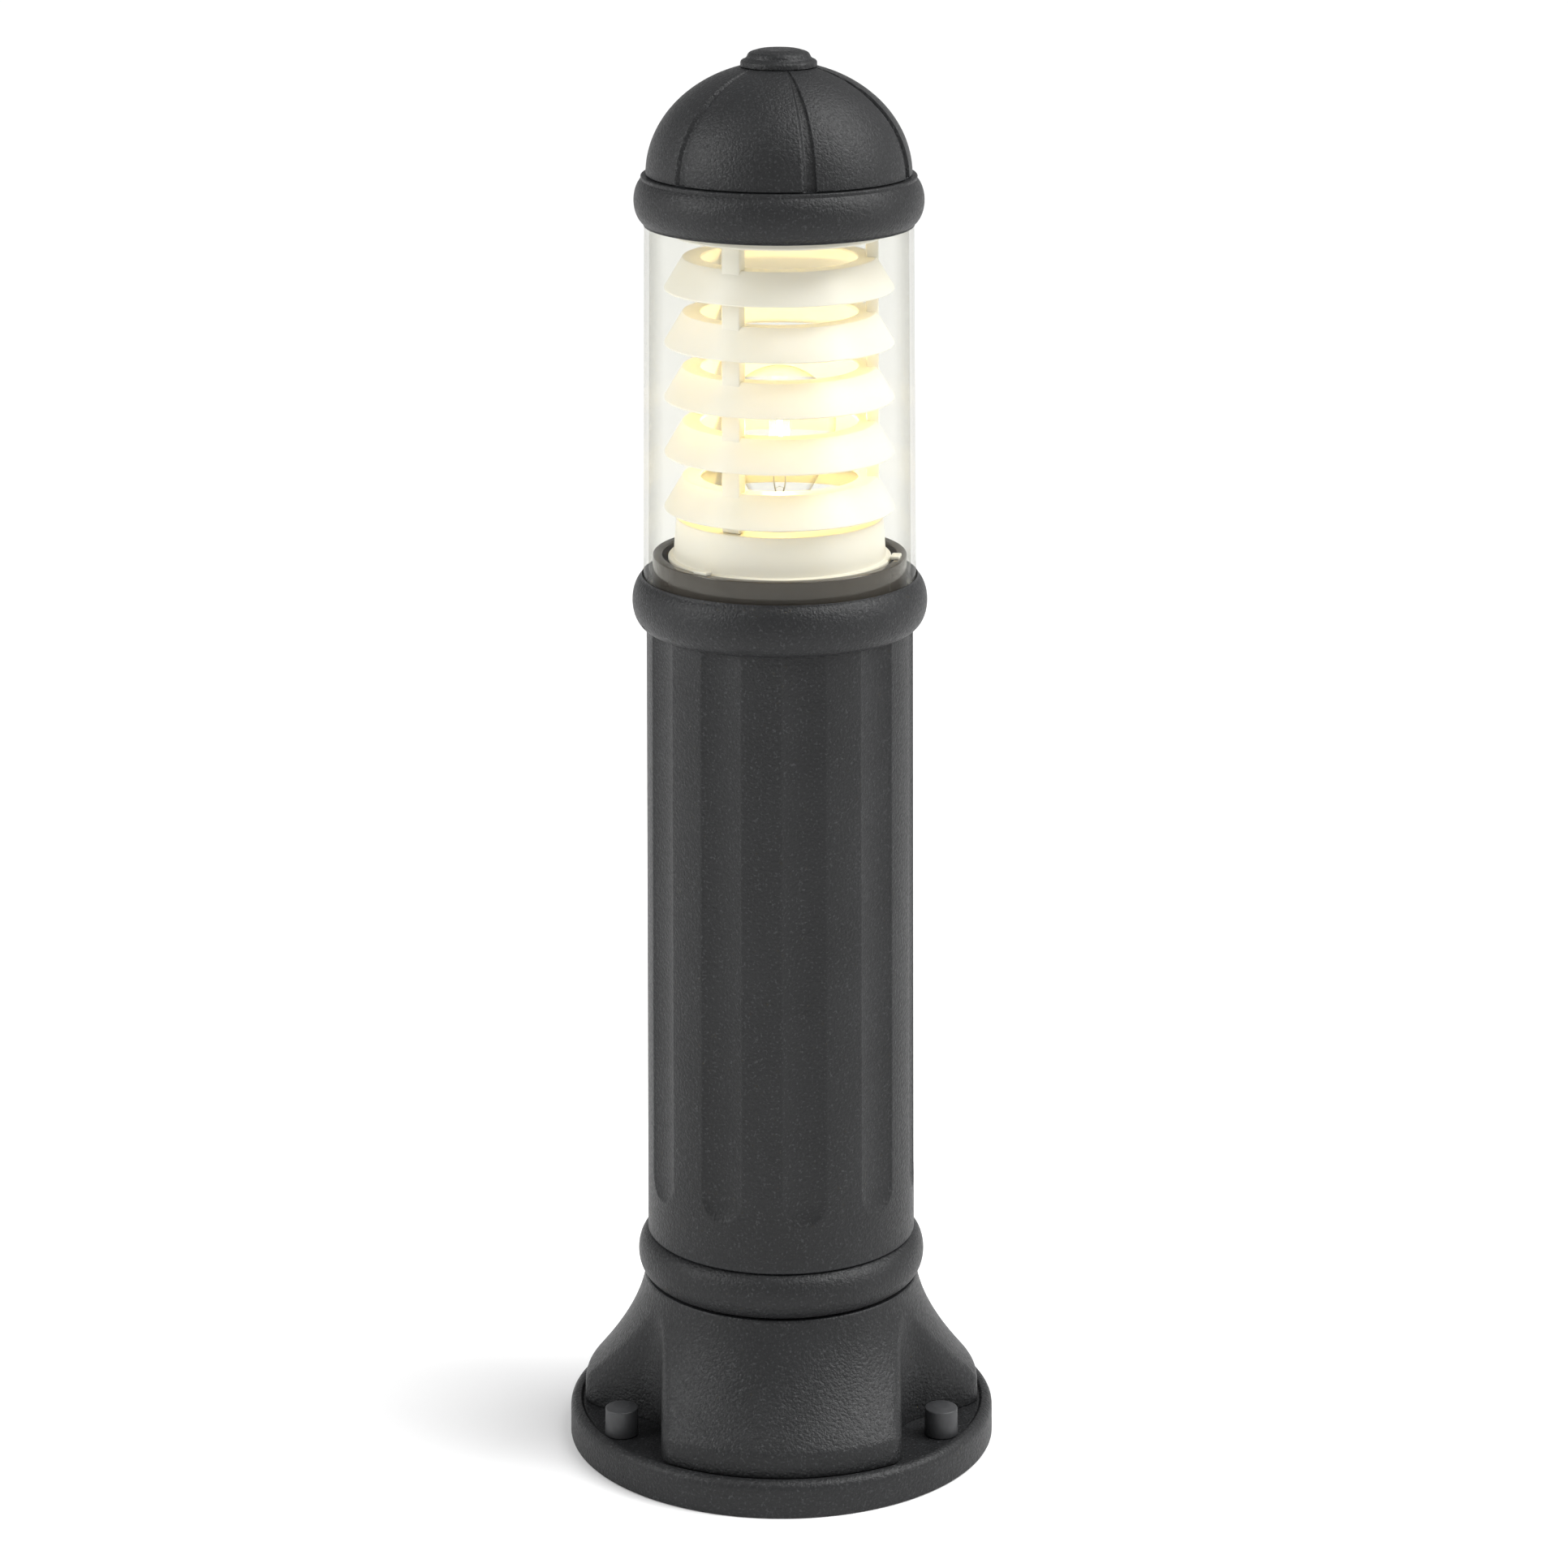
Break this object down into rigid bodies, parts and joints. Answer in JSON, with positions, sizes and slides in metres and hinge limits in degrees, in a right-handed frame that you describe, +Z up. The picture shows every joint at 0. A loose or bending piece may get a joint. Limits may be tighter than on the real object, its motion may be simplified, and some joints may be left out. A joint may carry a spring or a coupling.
{
  "type": "bollard light",
  "caption": "Garden bollard light: lobed cast base on a round ground plate, fluted column, clear diffuser with a white louvre round a screw-in lamp, and a domed cap.",
  "frame": {"origin": "centre of the ground plate's underside, on the ground", "axes": "+Z up the column; the front, with one base lobe square on, faces -Y"},
  "size_m": [0.2232, 0.2232, 0.7315],
  "materials": {
    "powder_coat": "fine-textured anthracite powder coat",
    "cap_plastic": "moulded anthracite plastic",
    "zinc_steel": "zinc-plated steel",
    "gallery_plastic": "glossy grey-brown plastic",
    "louvre_plastic": "satin warm-white plastic",
    "clear_diffuser": "clear polycarbonate",
    "lamp_glass": "clear glass",
    "lamp_filament": "lit halogen capsule",
    "nickel_cap": "nickel-plated lamp cap",
    "brass": "brass",
    "holder_ceramic": "brown glazed lampholder",
    "terminal_plastic": "white terminal plastic",
    "black_rubber": "black rubber",
    "silicone": "pale silicone",
    "wire_brown": "brown insulation",
    "wire_blue": "blue insulation",
    "wire_green": "green insulation"
  },
  "bodies": {
    "post": {"base_plate": "powder_coat", "base_body": "powder_coat", "lower_ring": "powder_coat", "column": "powder_coat", "ground_bolt_1": "zinc_steel", "ground_bolt_2": "zinc_steel", "ground_bolt_3": "zinc_steel", "base_screw_1": "zinc_steel", "base_screw_2": "zinc_steel", "base_screw_3": "zinc_steel", "column_screw_1": "zinc_steel", "column_screw_2": "zinc_steel", "column_screw_3": "zinc_steel", "set_screw_left": "zinc_steel", "set_screw_right": "zinc_steel", "bracket_screw": "zinc_steel", "terminal_bracket": "zinc_steel", "lampholder_bracket": "zinc_steel", "holder_screw_1": "zinc_steel", "holder_screw_2": "zinc_steel", "gallery_ring": "gallery_plastic", "lampholder_shell": "brass", "lampholder_contact": "brass", "earth_screw": "brass", "lampholder_body": "holder_ceramic", "terminal_block": "terminal_plastic", "cable_grommet": "black_rubber", "diffuser_gasket": "silicone", "wire_live": "wire_brown", "wire_neutral": "wire_blue", "wire_earth": "wire_green"},
    "head": {"diffuser": "clear_diffuser", "cap_gasket": "silicone", "cap_ring": "powder_coat", "cap_dome": "powder_coat", "dome_screw_1": "zinc_steel", "dome_screw_2": "zinc_steel", "dome_screw_3": "zinc_steel", "cap_finial": "powder_coat", "finial_nut": "zinc_steel"},
    "louvre": {"louvre_base": "louvre_plastic", "louvre_ring_1": "louvre_plastic", "louvre_ring_2": "louvre_plastic", "louvre_ring_3": "louvre_plastic", "louvre_ring_4": "louvre_plastic", "louvre_ring_5": "louvre_plastic", "louvre_post_1": "louvre_plastic", "louvre_post_2": "louvre_plastic", "louvre_post_3": "louvre_plastic", "louvre_lid": "louvre_plastic"},
    "lamp_carrier": {"lamp_tip": "brass"},
    "lamp": {"lamp_cap": "nickel_cap", "lamp_glass": "lamp_glass", "lamp_capsule": "lamp_filament"},
    "cap_right": {"bolt_cap_1": "cap_plastic"},
    "cap_rear": {"bolt_cap_2": "cap_plastic"},
    "cap_left": {"bolt_cap_3": "cap_plastic"}
  },
  "joints": [
    {"name": "head_lift", "type": "slide", "parent": "post", "child": "head", "axis": [0, 0, 1], "range_m": [0, 0.2]},
    {"name": "louvre_lift", "type": "slide", "parent": "post", "child": "louvre", "axis": [0, 0, 1], "range_m": [0, 0.13]},
    {"name": "lamp_rise", "type": "slide", "parent": "post", "child": "lamp_carrier", "axis": [0, 0, 1], "range_m": [0, 0.0128]},
    {"name": "lamp_turn", "type": "hinge", "parent": "lamp_carrier", "child": "lamp", "pos_m": [0, 0, 0.47], "axis": [0, 0, 1], "range_deg": [0, 1260]},
    {"name": "cap_right_pull", "type": "slide", "parent": "post", "child": "cap_right", "axis": [0, 0, 1], "range_m": [0, 0.02]},
    {"name": "cap_rear_pull", "type": "slide", "parent": "post", "child": "cap_rear", "axis": [0, 0, 1], "range_m": [0, 0.02]},
    {"name": "cap_left_pull", "type": "slide", "parent": "post", "child": "cap_left", "axis": [0, 0, 1], "range_m": [0, 0.02]}
  ],
  "couplings": [
    {"joint": "louvre_lift", "follows": "head_lift", "ratio": 0.62},
    {"joint": "lamp_rise", "follows": "lamp_turn", "m_per_rad": 0.0005775}
  ]
}
